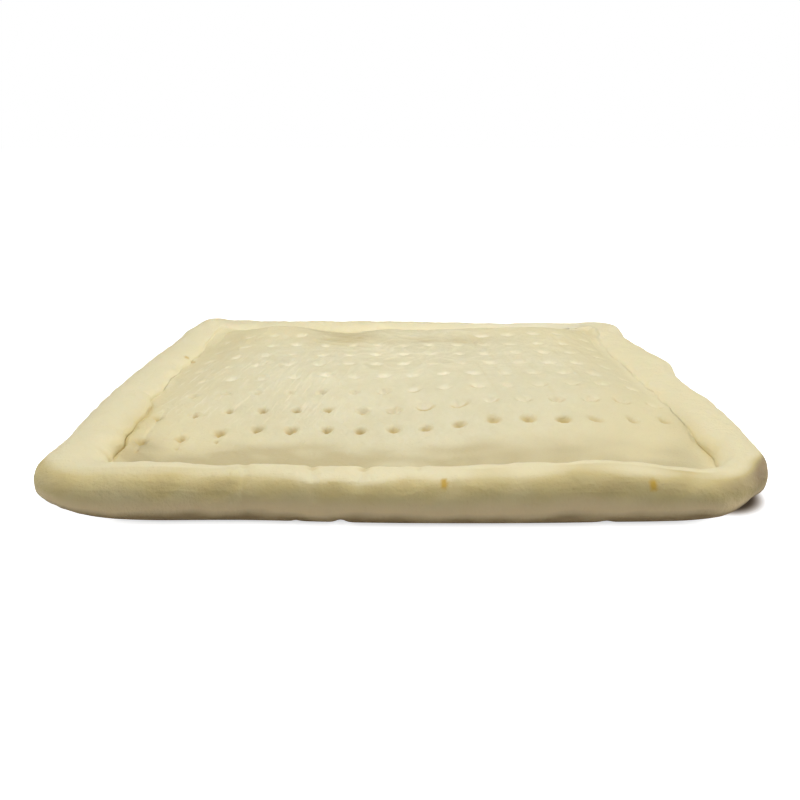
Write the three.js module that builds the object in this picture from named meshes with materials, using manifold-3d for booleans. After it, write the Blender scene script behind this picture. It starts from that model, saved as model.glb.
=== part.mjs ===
// A rectangular pizza base: one sheet of par-baked dough with a rolled rim all round, a panel that has
// puffed up inside it, and rows of docking holes pressed into the panel.
// Millimetres, +Z up. X runs along the long side and Y along the short side, away from the front. The
// origin is on the surface that the base lies on, under the middle of its outline.

import * as THREE from "three";
import { ParametricGeometry } from "three/addons/geometries/ParametricGeometry.js";
import { mergeGeometries, mergeVertices } from "three/addons/utils/BufferGeometryUtils.js";
import Module from "manifold-3d";

// The sheet and its rolled rim.
const LENGTH = 380;
const DEPTH = 300;
const CORNER_RADIUS = 40;
const RIM_WIDTH = 30;
const RIM_HEIGHT = 26;
const RIM_WAIST = 0.32; // how high the rim is widest, as a share of its height
// Power of the rim's oval section: 2 is an ellipse, more is squarer.
const RIM_ROUNDNESS = { outside: 2.8, inside: 2.3 };
const LEFT_TAPER = 10; // how much the left side leans in by the time it reaches the back

// The groove where the panel meets the rim: its height along the front and at the sides.
const GROOVE_FRONT = { middle: 5, corners: 13 };
const GROOVE_SIDES = { left: 17, right: 20 };
const GROOVE_CORNER = { from: 90, to: 155 }; // how far from X = 0 the front turns into its corners
const GROOVE_BACK = { from: -115, to: -70 }; // Y over which the front turns into the sides
const GROOVE_RIGHT = { from: -60, to: 60 }; // X over which the left side's height turns into the right's

// The panel inside the rim.
const PANEL_HEIGHT = 29; // the puffed part, left of the middle
const FRONT_DROP = { left: 18, right: 15 }; // how much lower the unpuffed front strip lies
const PUFF_STARTS = { left: 25, right: -20 }; // Y at which the fall to the front strip begins
const FRONT_STRIP = { left: -107, right: -118 }; // Y at which the fall ends
const CHANGE_OVER = { from: -8, to: 60 }; // X over which left turns into right
// The panel's round edges: how wide, and how round, where 0.5 is a quarter circle and 1 a parabola.
const SHOULDER = {
  left: { width: 64, power: 0.95 },
  right: { width: 42, power: 0.85 },
  back: { width: 22, power: 0.5 },
  front: { width: 36, power: 0.6 },
};

// Docking: the holes that the spiked roller leaves. Rows stand in pairs, each pair in line.
const ROWS_IN_PAIR = 2;
const DOCK_PITCH_X = 20;
const DOCK_PITCH_Y = 21;
const DOCK_FIRST_ROW = -64;
const DOCK_ROWS = 8;
const DOCK_START = -5; // X of the front row's middle hole
const DOCK_STAGGER = DOCK_PITCH_X / 3; // how much further left each pair stands than the one in front
const DOCK_STAGGERED_PAIRS = 2;
const DOCK_STRETCHED = { leftOf: -40, share: 0.05 }; // where pulled dough sets the holes further out
const DOCK_RADIUS = 2.3;
const DOCK_DEPTH = 5;
const DOCK_SIDES = 6;
const DOCK_MARGIN = { left: 10, right: 3 }; // closest a hole comes to the groove
const DOCK_OVERSHOOT = 1; // how far each cutting spike stands out above the dough

// The share of an outline swell that is left at the groove, further in.
const SWELL_AT_GROOVE = 0.5;

// Hand-made unevenness. Each swell is a soft round bell: where its middle is, how far it reaches along X
// and Y, and how much it adds there.
const OUTLINE_SWELLS = [
  { x: -190, y: 0, reachX: 40, reachY: 80, add: 5.5 }, // the left side's long belly
  { x: -190, y: -100, reachX: 40, reachY: 20, add: -2 }, // a tuck before the front left corner
  { x: -188, y: -138, reachX: 30, reachY: 20, add: 3 }, // the front left corner, pulled out
  { x: -176, y: 145, reachX: 22, reachY: 16, add: 2 }, // the back left corner, pulled out
  { x: 190, y: -65, reachX: 40, reachY: 55, add: 6.5 }, // the right side's belly
  { x: 190, y: -35, reachX: 40, reachY: 15, add: 2 }, // and its fullest place
  { x: 190, y: 41, reachX: 40, reachY: 23, add: 7.5 }, // the bulge behind it
  { x: 190, y: 105, reachX: 40, reachY: 20, add: -6 }, // the pull-in before the back right corner
  { x: 184, y: 146, reachX: 18, reachY: 14, add: 11 }, // the back right corner's knob
  { x: 184, y: -140, reachX: 30, reachY: 16, add: -3 }, // the front right corner, rounder than the rest
  { x: -90, y: -150, reachX: 60, reachY: 30, add: -3.6 }, // the front's left half, a little in
  { x: 125, y: -150, reachX: 40, reachY: 30, add: -1.5 },
];
const CREST_SWELLS = [
  { x: -150, y: 135, reachX: 40, reachY: 25, add: 3 },
  { x: -174, y: 138, reachX: 14, reachY: 12, add: 4 }, // the lump on the back left corner
  { x: -50, y: 135, reachX: 90, reachY: 25, add: 3 },
  { x: -105, y: -138, reachX: 45, reachY: 22, add: -1.7 },
  { x: -15, y: -135, reachX: 40, reachY: 25, add: -2 }, // the flatter stretch at the front
  { x: 100, y: -135, reachX: 40, reachY: 25, add: 3 },
  { x: 155, y: -138, reachX: 26, reachY: 22, add: -4 }, // the dip beside the front right corner
  { x: 188, y: 132, reachX: 16, reachY: 14, add: 2 }, // the knob's top
];
const LIFTED_CORNERS = [
  { x: -178, y: -140, reachX: 32, reachY: 25, add: 6 },
  { x: 180, y: -138, reachX: 30, reachY: 26, add: 5 },
];
// Where the rim is narrower or wider, because the groove lies further out or in.
const GROOVE_SWELLS = [
  { x: -190, y: -62, reachX: 40, reachY: 34, add: -3 },
  { x: -184, y: -134, reachX: 40, reachY: 20, add: -5.5 }, // here the rim's corner was folded over the panel
  { x: -180, y: 138, reachX: 30, reachY: 22, add: -3.5 }, // and here it was rolled in further
  { x: 186, y: -130, reachX: 30, reachY: 30, add: 9.5 }, // the panel's front right corner, pushed well out
  { x: 190, y: 50, reachX: 40, reachY: 40, add: -4 },
];
// Where the groove is filled up: the back corners.
const GROOVE_FILLS = [
  { x: -165, y: 130, reachX: 45, reachY: 32, add: 9.5 },
  { x: 165, y: 130, reachX: 40, reachY: 32, add: 5.5 },
];
const PANEL_SWELLS = [
  { x: 110, y: 90, reachX: 45, reachY: 40, add: 3.4 },
  { x: 80, y: 10, reachX: 50, reachY: 60, add: 1.2 },
  { x: 60, y: -22, reachX: 38, reachY: 16, add: -1.5 },
  { x: -112, y: 8, reachX: 34, reachY: 30, add: -1.5 },
  { x: -48, y: 112, reachX: 28, reachY: 28, add: -5.5 }, // the sunken place at the back
  { x: 14, y: 110, reachX: 34, reachY: 22, add: -2.4 },
  { x: -110, y: 98, reachX: 60, reachY: 26, add: 4.6 },
  { x: 0, y: 98, reachX: 70, reachY: 22, add: 3.8 },
];
// Bends the front rows' left ends forward.
const DOCK_BEND = [{ x: -150, y: -62, reachX: 34, reachY: 22, add: -18 }];

// How finely the surface is divided.
const LONG_STEPS = 32;
const SHORT_STEPS = 24;
const SECTION_STEPS = 13;
const SHOULDER_STEPS = 3;

const FOOT_ANGLE = -Math.PI / 2; // lowest point of the rim's section
const PAST_INNER_SIDE = 0.12;
const GROOVE_ANGLE = Math.PI + PAST_INNER_SIDE;
// The panel's side just inside the groove: over what share of the way to the grid it rises, and how round.
const GROOVE_SIDE = { width: 0.35, power: 0.5 };
const MERGE_DISTANCE = 1e-3;

const DOUGH_COLOUR = "#e4dab8";
const DOUGH_ROUGHNESS = 0.6;

// The panel's grid covers the rectangle that is left when the corners' radius is taken off the outline.
const GRID_LENGTH = LENGTH - 2 * CORNER_RADIUS;
const GRID_DEPTH = DEPTH - 2 * CORNER_RADIUS;

function addedBy(swells, x, y) {
  return swells.reduce((sum, { x: atX, y: atY, reachX, reachY, add }) => {
    const away = ((x - atX) / reachX) ** 2 + ((y - atY) / reachY) ** 2;
    return sum + add * Math.exp(-away);
  }, 0);
}

function smoothStep({ from, to }, value) {
  return THREE.MathUtils.smoothstep((value - from) / (to - from), 0, 1);
}

// A round edge's rise: 0 at the edge and 1 once the distance in from it reaches the width.
function shoulder(distance, { width, power }) {
  const left = 1 - THREE.MathUtils.clamp(distance / width, 0, 1);
  return (1 - left * left) ** power;
}

// The four sides in order round the outline: which way each runs, which way it faces, and its steps.
const SIDES = [
  { along: [1, 0], facing: [0, -1], straight: GRID_LENGTH / 2, reach: DEPTH / 2, steps: LONG_STEPS },
  { along: [0, 1], facing: [1, 0], straight: GRID_DEPTH / 2, reach: LENGTH / 2, steps: SHORT_STEPS },
  { along: [-1, 0], facing: [0, 1], straight: GRID_LENGTH / 2, reach: DEPTH / 2, steps: LONG_STEPS },
  { along: [0, -1], facing: [-1, 0], straight: GRID_DEPTH / 2, reach: LENGTH / 2, steps: SHORT_STEPS },
];
const ROUND_STEPS = 2 * (LONG_STEPS + SHORT_STEPS);

// Which side a column belongs to, and its place along that side from -1 to 1.
function placeOfColumn(column) {
  let rest = column % ROUND_STEPS;
  const side = SIDES.find((each) => {
    const here = rest < each.steps;
    rest -= here ? 0 : each.steps;
    return here;
  });
  return { side, place: (2 * rest) / side.steps - 1 };
}

// A point of the outline moved in by an inset, with its outward direction. Each side owns half of the
// round corner at either end, and its columns crowd less and less into the corner as the inset grows.
function outlinePoint({ side, place }, inset) {
  const radius = Math.max(CORNER_RADIUS - inset, 0);
  const cornerLength = (radius * Math.PI) / 4;
  const travelled = Math.abs(place) * side.straight + cornerLength * Math.abs(place) ** 3;
  const turned = radius > 0 ? Math.max(travelled - side.straight, 0) / radius : 0;
  const sideways = Math.sign(place) * (Math.min(travelled, side.straight) + radius * Math.sin(turned));
  const outwards = side.reach - CORNER_RADIUS + radius * Math.cos(turned);
  const lean = Math.sign(place) * Math.sin(turned);
  const [alongX, alongY] = side.along;
  const [facingX, facingY] = side.facing;
  return {
    x: alongX * sideways + facingX * outwards,
    y: alongY * sideways + facingY * outwards,
    outX: alongX * lean + facingX * Math.cos(turned),
    outY: alongY * lean + facingY * Math.cos(turned),
  };
}

// The groove's height: low along the front, higher at its corners and along the sides, and filled up in the
// back corners.
function grooveHeight(x, y) {
  const { lerp } = THREE.MathUtils;
  const front = lerp(GROOVE_FRONT.middle, GROOVE_FRONT.corners, smoothStep(GROOVE_CORNER, Math.abs(x)));
  const side = lerp(GROOVE_SIDES.left, GROOVE_SIDES.right, smoothStep(GROOVE_RIGHT, x));
  return lerp(front, side, smoothStep(GROOVE_BACK, y)) + addedBy(GROOVE_FILLS, x, y);
}

// How far swells move the groove out: a share of what the outline's do at the edge, and all of the groove's.
function innerSwell(x, y) {
  return SWELL_AT_GROOVE * addedBy(OUTLINE_SWELLS, x, y) + addedBy(GROOVE_SWELLS, x, y);
}

// The groove's height plus the puffed crown's rise above it, faded by a round shoulder at each side.
function panelHeight(x, y) {
  const { lerp } = THREE.MathUtils;
  const right = smoothStep(CHANGE_OVER, x);
  const fall = {
    from: lerp(PUFF_STARTS.left, PUFF_STARTS.right, right),
    to: lerp(FRONT_STRIP.left, FRONT_STRIP.right, right),
  };
  const drop = lerp(FRONT_DROP.left, FRONT_DROP.right, right) * smoothStep(fall, y);
  const crown = PANEL_HEIGHT + addedBy(PANEL_SWELLS, x, y) - drop;
  const halfLength = LENGTH / 2 - RIM_WIDTH;
  const halfDepth = DEPTH / 2 - RIM_WIDTH;
  const edge =
    shoulder(halfLength + x + innerSwell(-LENGTH / 2, y), SHOULDER.left) *
    shoulder(halfLength - x + innerSwell(LENGTH / 2, y), SHOULDER.right) *
    shoulder(halfDepth - y, SHOULDER.back) *
    shoulder(halfDepth + y, SHOULDER.front);
  return lerp(grooveHeight(x, y), crown, edge);
}

// The rim's oval section at an angle: how far in from the edge, and how high as a share of the crest.
function sectionPoint(angle) {
  const across = Math.cos(angle);
  const up = Math.sin(angle);
  const power = 2 / (across >= 0 ? RIM_ROUNDNESS.outside : RIM_ROUNDNESS.inside);
  const inset = (RIM_WIDTH / 2) * (1 - Math.sign(across) * Math.abs(across) ** power);
  const reach = Math.abs(up) ** power;
  const level = up >= 0 ? RIM_WAIST + (1 - RIM_WAIST) * reach : RIM_WAIST * (1 - reach);
  return { inset, level };
}

// A point of the rolled rim at an angle of its oval section: -90 degrees is its foot, 0 its outer side,
// 90 its crest and 180 its inner side, which falls only to the groove.
function rimPoint(column, angle) {
  const at = placeOfColumn(column);
  const { inset, level: ovalLevel } = sectionPoint(angle);
  const edge = outlinePoint(at, 0);
  const point = outlinePoint(at, inset);
  const crest = RIM_HEIGHT + addedBy(CREST_SWELLS, edge.x, edge.y);
  const inner = angle > Math.PI / 2;
  const lowest = sectionPoint(GROOVE_ANGLE).level;
  const groove = grooveHeight(edge.x, edge.y) / crest;
  const innerLevel = THREE.MathUtils.lerp(groove, 1, (ovalLevel - lowest) / (1 - lowest));
  const level = inner ? innerLevel : ovalLevel;
  const heel = inner ? 0 : addedBy(LIFTED_CORNERS, edge.x, edge.y) * (1 - level) ** 2;
  const inward = inset / RIM_WIDTH;
  const swell =
    addedBy(OUTLINE_SWELLS, edge.x, edge.y) * THREE.MathUtils.lerp(1, SWELL_AT_GROOVE, inward) -
    heel +
    addedBy(GROOVE_SWELLS, edge.x, edge.y) * inward ** 2;
  return [point.x + point.outX * swell, point.y + point.outY * swell, level * crest + heel];
}

// A point between the groove and the panel's grid: part 0 is the groove and part 1 the grid's edge.
function shoulderPoint(column, part) {
  const [grooveX, grooveY, grooveZ] = rimPoint(column, GROOVE_ANGLE);
  const { x, y } = outlinePoint(placeOfColumn(column), CORNER_RADIUS);
  const atX = THREE.MathUtils.lerp(grooveX, x, part);
  const atY = THREE.MathUtils.lerp(grooveY, y, part);
  const rise = shoulder(part, GROOVE_SIDE);
  return [atX, atY, THREE.MathUtils.lerp(grooveZ, panelHeight(atX, atY), rise)];
}

// The skin from the flat underside, out under the rim, up over it and down to the panel's grid.
function collarGeometry() {
  const rows = 1 + SECTION_STEPS + SHOULDER_STEPS;
  const skin = (u, v, target) => {
    const column = Math.round(u * ROUND_STEPS);
    const step = Math.round(v * rows) - 1;
    if (step < 0) {
      target.set(...undersideEdge(column));
    } else if (step <= SECTION_STEPS) {
      const angle = THREE.MathUtils.lerp(FOOT_ANGLE, GROOVE_ANGLE, step / SECTION_STEPS);
      target.set(...rimPoint(column, angle));
    } else {
      target.set(...shoulderPoint(column, (step - SECTION_STEPS) / SHOULDER_STEPS));
    }
  };
  return new ParametricGeometry(skin, ROUND_STEPS, rows);
}

// The panel's grid, raised to its height.
function panelGeometry() {
  const grid = new THREE.PlaneGeometry(GRID_LENGTH, GRID_DEPTH, LONG_STEPS, SHORT_STEPS);
  const position = grid.getAttribute("position");
  for (let i = 0; i < position.count; i += 1) {
    position.setZ(i, panelHeight(position.getX(i), position.getY(i)));
  }
  return grid;
}

function undersideEdge(column) {
  const { x, y } = outlinePoint(placeOfColumn(column), CORNER_RADIUS);
  return [x, y, 0];
}

// The flat underside: a fan about its middle, run the other way round so that it faces down.
function undersideGeometry() {
  const fan = new THREE.CircleGeometry(1, ROUND_STEPS);
  const position = fan.getAttribute("position");
  for (let i = 1; i < position.count; i += 1) {
    position.setXYZ(i, ...undersideEdge(ROUND_STEPS + 1 - i));
  }
  return fan;
}

// One spike of the docking roller, point down at a place on the panel.
function spikeGeometry(x, y) {
  const height = DOCK_DEPTH + DOCK_OVERSHOOT;
  const radius = (DOCK_RADIUS * height) / DOCK_DEPTH;
  const spike = new THREE.ConeGeometry(radius, height, DOCK_SIDES);
  spike.rotateX(-Math.PI / 2);
  return spike.translate(x, y, panelHeight(x, y) + DOCK_OVERSHOOT - height / 2);
}

// Where a hole of the even pattern ends up once the dough has been pulled to the left and forward.
function pulledPlace(x, y) {
  const stretch = DOCK_STRETCHED.share * Math.min(x - DOCK_STRETCHED.leftOf, 0);
  return [x + stretch, y + addedBy(DOCK_BEND, x, y)];
}

function spikesGeometry() {
  const spikes = [];
  const leftmost = -LENGTH / 2 + RIM_WIDTH + DOCK_MARGIN.left;
  const rightmost = LENGTH / 2 - RIM_WIDTH - DOCK_MARGIN.right;
  for (let row = 0; row < DOCK_ROWS; row += 1) {
    const offset = DOCK_START - DOCK_STAGGER * Math.min(Math.floor(row / ROWS_IN_PAIR), DOCK_STAGGERED_PAIRS);
    const first = Math.ceil((leftmost - offset) / DOCK_PITCH_X);
    const last = Math.floor((rightmost - offset) / DOCK_PITCH_X);
    const y = DOCK_FIRST_ROW + row * DOCK_PITCH_Y;
    for (let hole = first; hole <= last; hole += 1) {
      spikes.push(spikeGeometry(...pulledPlace(offset + hole * DOCK_PITCH_X, y)));
    }
  }
  return mergeGeometries(spikes);
}

const wasm = await Module();
wasm.setup();

// A closed three.js geometry as a solid that can be cut.
function solidFrom(geometry) {
  const bare = geometry.clone();
  bare.deleteAttribute("normal");
  bare.deleteAttribute("uv");
  const merged = mergeVertices(bare, MERGE_DISTANCE);
  const vertProperties = new Float32Array(merged.getAttribute("position").array);
  const triVerts = new Uint32Array(merged.index.array);
  return new wasm.Manifold(new wasm.Mesh({ numProp: 3, vertProperties, triVerts }));
}

function geometryFrom(solid) {
  const { vertProperties, triVerts } = solid.getMesh();
  const geometry = new THREE.BufferGeometry();
  geometry.setAttribute("position", new THREE.BufferAttribute(vertProperties, 3));
  geometry.setIndex(new THREE.BufferAttribute(triVerts, 1));
  return geometry;
}

// The left side leans in towards the back, and the outline is then centred on the origin.
function leanAndCentre(geometry) {
  const position = geometry.getAttribute("position");
  for (let i = 0; i < position.count; i += 1) {
    const x = position.getX(i);
    const back = (position.getY(i) + DEPTH / 2) / DEPTH;
    position.setX(i, x + (LEFT_TAPER * back * Math.max(-x, 0)) / (LENGTH / 2));
  }
  geometry.computeBoundingBox();
  const middle = geometry.boundingBox.getCenter(new THREE.Vector3());
  geometry.translate(-middle.x, -middle.y, 0);
  return geometry;
}

function pizzaBase() {
  const skin = mergeGeometries([collarGeometry(), panelGeometry(), undersideGeometry()]);
  const docked = solidFrom(skin).subtract(solidFrom(spikesGeometry()));
  const geometry = leanAndCentre(geometryFrom(docked));
  geometry.computeVertexNormals();
  const dough = new THREE.MeshStandardMaterial({
    color: DOUGH_COLOUR,
    roughness: DOUGH_ROUGHNESS,
    metalness: 0,
  });
  const mesh = new THREE.Mesh(geometry, dough);
  mesh.name = "pizza_base";
  return mesh;
}

const base = new THREE.Group();
base.add(pizzaBase());

export default base;
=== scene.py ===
"""A par-baked pizza base, one piece of dough: a rolled rim, a puffed panel and rows of docking holes."""

import math

import bpy
import numpy as np
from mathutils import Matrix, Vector


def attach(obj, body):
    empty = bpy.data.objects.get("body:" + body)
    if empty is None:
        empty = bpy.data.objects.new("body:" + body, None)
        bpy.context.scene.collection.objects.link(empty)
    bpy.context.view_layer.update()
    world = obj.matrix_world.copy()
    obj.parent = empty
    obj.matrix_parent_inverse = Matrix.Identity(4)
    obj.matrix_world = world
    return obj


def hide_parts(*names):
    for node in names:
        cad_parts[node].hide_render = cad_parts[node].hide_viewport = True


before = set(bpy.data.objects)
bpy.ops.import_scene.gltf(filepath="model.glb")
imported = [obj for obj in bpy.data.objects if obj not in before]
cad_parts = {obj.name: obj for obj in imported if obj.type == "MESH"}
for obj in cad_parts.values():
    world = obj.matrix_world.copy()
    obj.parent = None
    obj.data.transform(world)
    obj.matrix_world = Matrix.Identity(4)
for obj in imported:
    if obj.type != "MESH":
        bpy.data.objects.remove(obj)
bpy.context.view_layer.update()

MM = 0.001  # every size below is in millimetres, and the finished scene is in metres

# The sheet and its rolled rim.
LENGTH = 380.0
DEPTH = 300.0
CORNER_RADIUS = 40.0
RIM_WIDTH = 30.0
RIM_HEIGHT = 26.0
RIM_WAIST = 0.32  # how high the rim is widest, as a share of its height
# The power of the rim's oval section, outside and inside: 2 is an ellipse, and more is squarer.
RIM_ROUNDNESS = (2.8, 2.3)
PAST_INNER_SIDE = 0.12  # how far the section goes on past its inner waist, in radians
LEFT_TAPER = 10.0  # how much the left side leans in by the time it reaches the back

# The groove between rim and panel: how high it lies.
GROOVE_FRONT = (5.0, 13.0)  # front middle and front corners
GROOVE_SIDES = (17.0, 20.0)  # left and right
GROOVE_CORNER = (90.0, 155.0)  # distance from the middle over which the front rises to its corners
GROOVE_RIGHT = (-60.0, 60.0)  # X over which the left side's height turns into the right's
GROOVE_BACK = (-115.0, -70.0)  # Y over which the front's height turns into the sides'

# The panel inside the rim.
PANEL_HEIGHT = 29.0
FRONT_DROP = (18.0, 15.0)  # how much lower the front strip lies, left and right
PUFF_STARTS = (25.0, -20.0)  # Y at which the fall to the front strip begins, left and right
FRONT_STRIP = (-107.0, -118.0)  # Y at which the fall ends, left and right
CHANGE_OVER = (-8.0, 60.0)  # X over which left turns into right
# Width of the panel's round edge on each side, and how round it is: 0.5 is a quarter circle, 1 a parabola.
SHOULDER_LEFT = (64, 0.95)
SHOULDER_RIGHT = (42, 0.85)
SHOULDER_BACK = (22, 0.5)
SHOULDER_FRONT = (36, 0.6)
GROOVE_SIDE_WIDTH = 0.35  # width of the rise out of the groove, as a share of the way to the grid

# Swells are soft round bells: middle x, middle y, reach along x, reach along y, how much they add.
OUTLINE_SWELLS = [
    (-190, 0, 40, 80, 5.5),  # the left side's long belly
    (-190, -100, 40, 20, -2.0),  # a tuck before the front left corner
    (-188, -138, 30, 20, 3.0),  # the front left corner, pulled out
    (-176, 145, 22, 16, 2.0),  # the back left corner, pulled out
    (190, -65, 40, 55, 6.5),  # the right side's belly
    (190, -35, 40, 15, 2.0),  # and its fullest place
    (190, 41, 40, 23, 7.5),  # the bulge behind it
    (190, 105, 40, 20, -6.0),  # the pull-in before the back right corner
    (184, 146, 18, 14, 11.0),  # the back right corner's knob
    (184, -140, 30, 16, -3.0),  # the front right corner, rounder than the rest
    (-90, -150, 60, 30, -3.6),  # the front's left half, a little in
    (125, -150, 40, 30, -1.5),
]
SWELL_AT_GROOVE = 0.5  # how much of these is left at the groove, as a share
CREST_SWELLS = [
    (-150, 135, 40, 25, 3.0),
    (-174, 138, 14, 12, 4.0),  # the lump on the back left corner
    (-50, 135, 90, 25, 3.0),
    (-105, -138, 45, 22, -1.7),
    (-15, -135, 40, 25, -2.0),  # the flatter stretch at the front
    (100, -135, 40, 25, 3.0),
    (155, -138, 26, 22, -4.0),  # the dip beside the front right corner
    (188, 132, 16, 14, 2.0),  # the knob's top
]
LIFTED_CORNERS = [
    (-178, -140, 32, 25, 6.0),
    (180, -138, 30, 26, 5.0),
]
# Where the rim is narrower, because the groove lies further out.
GROOVE_SWELLS = [
    (-190, -62, 40, 34, -3.0),
    (-184, -134, 40, 20, -5.5),  # here the rim's corner was folded over the panel
    (-180, 138, 30, 22, -3.5),  # and here it was rolled in further
    (186, -130, 30, 30, 9.5),  # the panel's front right corner, pushed well out
    (190, 50, 40, 40, -4.0),
]
GROOVE_UNEVEN = 0.9  # how far the rim's inner edge wavers
# Where the groove is filled up: the back corners.
GROOVE_FILLS = [
    (-165, 130, 45, 32, 9.5),
    (165, 130, 40, 32, 5.5),
]
PANEL_SWELLS = [
    (110, 90, 45, 40, 3.4),
    (80, 10, 50, 60, 1.2),
    (60, -22, 38, 16, -1.5),
    (-112, 8, 34, 30, -1.5),
    (-48, 112, 28, 28, -5.5),  # the sunken place at the back
    (14, 110, 34, 22, -2.4),
    (-110, 98, 60, 26, 4.6),
    (0, 98, 70, 22, 3.8),
]

# Where the docking holes stand.
DOCK_PITCH_X = 20.0
DOCK_PITCH_Y = 21.0
DOCK_FIRST_ROW = -64.0
DOCK_ROWS = 8
DOCK_START = -5.0  # X of the front row's middle hole
DOCK_STAGGER = DOCK_PITCH_X / 3  # how much further left each pair of rows stands than the one in front
DOCK_STAGGERED_PAIRS = 2
DOCK_MARGINS = (10.0, 3.0)  # how near the rim a hole may stand before the pull, left and right
DOCK_SHAKE = 0.6  # how far chance moves a hole, as a rule
DOCK_STRETCH = (-40.0, 0.05)  # left of this X the pulled dough put the holes further out, by this share
DOCK_BEND = [(-150, -62, 34, 22, -18.0)]  # the swell that bends the front rows' left ends forward
DOCK_TWICE_LEFT_OF = -100.0  # the front row's holes left of this X were pressed a second time
DOCK_TWICE_SHIFT = (0.5, -9.0)

# What a hole looks like, from the front row to the fourth and every row behind it. Each pair is left and
# right: the dish's depth, the pit's depth, the pit's half-width, how much the pit is stretched along the
# row, how much painted shade (tan) it has inside and how much painted highlight (pale) its far wall has.
DOCK_KINDS = [
    ((1.0, 1.2), (4.4, 1.8), (2.7, 2.6), (0.95, 1.5), (1.0, 1.0), (0.0, 0.0)),
    ((0.8, 0.9), (3.4, 2.0), (2.3, 3.2), (1.0, 1.4), (1.0, 1.0), (0.0, 1.0)),
    ((0.8, 0.8), (2.2, 1.4), (1.8, 2.8), (1.4, 1.5), (1.0, 0.8), (0.3, 1.0)),
    ((0.5, 0.6), (0.8, 0.9), (2.5, 2.7), (1.5, 1.6), (0.2, 0.35), (1.0, 1.0)),
]
DOCK_SECOND_MARK = ((0.4, 0.4), (2.0, 2.0), (1.4, 1.4), (0.9, 0.9), (0.8, 0.8), (0.0, 0.0))
DOCK_RIGHT_FROM = (-50.0, 10.0)  # X over which the left kind turns into the right
DISH_LENGTH = 5.4  # half a dish, along the row
DISH_WIDTH = 4.0  # and across it
# The range of chance in each size, as a factor, and in how strongly a hole is marked.
DISH_LENGTHS = (0.8, 1.25)
DISH_WIDTHS = (0.75, 1.25)
PIT_HALF_WIDTHS = (0.85, 1.2)
PIT_DEPTHS = (0.8, 1.2)
MARKED = (0.5, 1.0)
FOURTH_ROW_DEPTH = (0.3, 1.0)  # from the fourth row on, a pit's depth goes with how strongly it is marked
# How far a hole turns, in radians: by chance, and towards a row's ends.
TURN_SHAKE = 0.2
TURN_MOST = 0.25
TURN_REACH = 80.0  # how far from the middle it has made three quarters of that turn
# Where the roller pressed less, and what that does to a hole.
MISSED = (-75.0, 62.0)  # X between which the last row's spikes missed the sunken place
MISSED_DISH = 0.3  # how much is left there of the dish
MISSED_PIT = 0.2  # of the pit
MISSED_HIGHLIGHT = 0.15  # and of its painted highlight
WEAK_LEFT = (-90.0, -125.0)  # X over which the front row's left end grows weaker
WEAK_LOSS = 0.65  # how much of a pit's depth is lost there
FADES = (90.0, 118.0)  # X over which the front row's pits fade away
FADED_DEPTH = -0.5  # what is then added, as a share, to the pit's depth
FADED_WIDTH = -0.4  # to its half-width
FADED_STRETCH = 0.8  # to its stretch
FADED_TURN = -0.35  # and in radians to the hole's turn
# Shapes within a hole. Where a side is meant, it is given in pit's half-widths behind the hole's middle.
FRONT_PIT_LONGER = 1.15  # how much longer the front row's pits are from front to back
PIT_WIDENS = 0.5  # how much wider the two front rows' left pits are behind, and narrower in front
LIP_HEIGHT = 0.35
LIP_AT = 1.45  # how far out the lip is, in pits
LIP_HALF_WIDTH = 0.3  # in pits too
LIP_SIDE = (0.2, -0.8)  # where the lip begins and where it is full, in front
NEAR_SIDE = (-0.1, 0.5)  # where the painted shade ends, in the holes that have it on their near side only
FAR_SIDE = (0.0, 0.5)  # where the far wall's painted highlight begins, in the three front rows
FAR_SIDE_BEHIND = (-1.1, -0.4)  # and in the rows behind them
WALL_REACH = 1.08  # how far out the far wall's painted highlight reaches, in pits
SHADE_OF_FLAT = 0.3  # how much of its painted shade a pit without depth shows
SHADE_DEPTH = 3.0  # how much depth would add the whole of it
HIGHLIGHT_MIDDLE = (0.75, 1.0)  # how strong the far walls' painted highlights are at a row's ends and in its middle
HIGHLIGHT_REACH = 75.0  # how far from the middle that changes
HOLE_REACH = 14.0  # beyond this a hole changes nothing
# Round each hole the grid is drawn in: how far away, and by how much at most, as a share.
DRAWN_REACH = 6.5
DRAWN_SHARE = 0.45

# Where panel and rim meet, the dough has flowed together into a soft valley.
VALLEY_ROUND = 2.6  # how much it is filled up in its middle
VALLEY_HALF_WIDTH = 7.0
RIM_FADES = 9.0  # how far into the panel the rim's look fades away
# In places towards the front a crease is left in it: swells, as a depth.
PINCH_HALF_WIDTH = 1.7
PINCHES = [
    (190, -112, 40, 18, 1.8),
    (-190, -100, 40, 18, 3.0),
    (-190, -50, 40, 24, 1.0),
]

# Where painted shade lies in the groove, as a tan: swells, as a share.
GROOVE_SHADES = [
    (-190, -70, 40, 45, 0.32),
    (190, -88, 40, 38, 0.24),
]
# How much painted shade, as a tan, each millimetre of depth gives a place: in the groove's crease, in a
# crease on the rim or the panel, and in a furrow.
PINCH_SHADE = 0.13
RIM_CREASE_SHADE = 0.2
PANEL_CREASE_SHADE = 0.3
FURROW_SHADE = 0.3
RIDGE_PALE = 0.8  # how pale each millimetre of a ridge's height makes it

# Pull marks on the panel: how many, X from and to, Y from and to, how long, how far they lean right as a
# share of that, and how much they add. The left half has raised ridges, the right half shallow furrows.
PULL_LEAN = 0.33
PULL_MARKS = [
    (46, (-145, -45), (-54, 34), (9, 27), PULL_LEAN, (0.12, 0.34)),
    (16, (40, 140), (-45, 60), (20, 60), -0.15, (-0.42, -0.2)),
]
PULL_LEAN_SHAKE = 0.02
PULL_HALF_WIDTHS = (0.7, 1.2)
STREAK_ENDS = 0.04  # the share of its length at which a streak's taper stops

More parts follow.
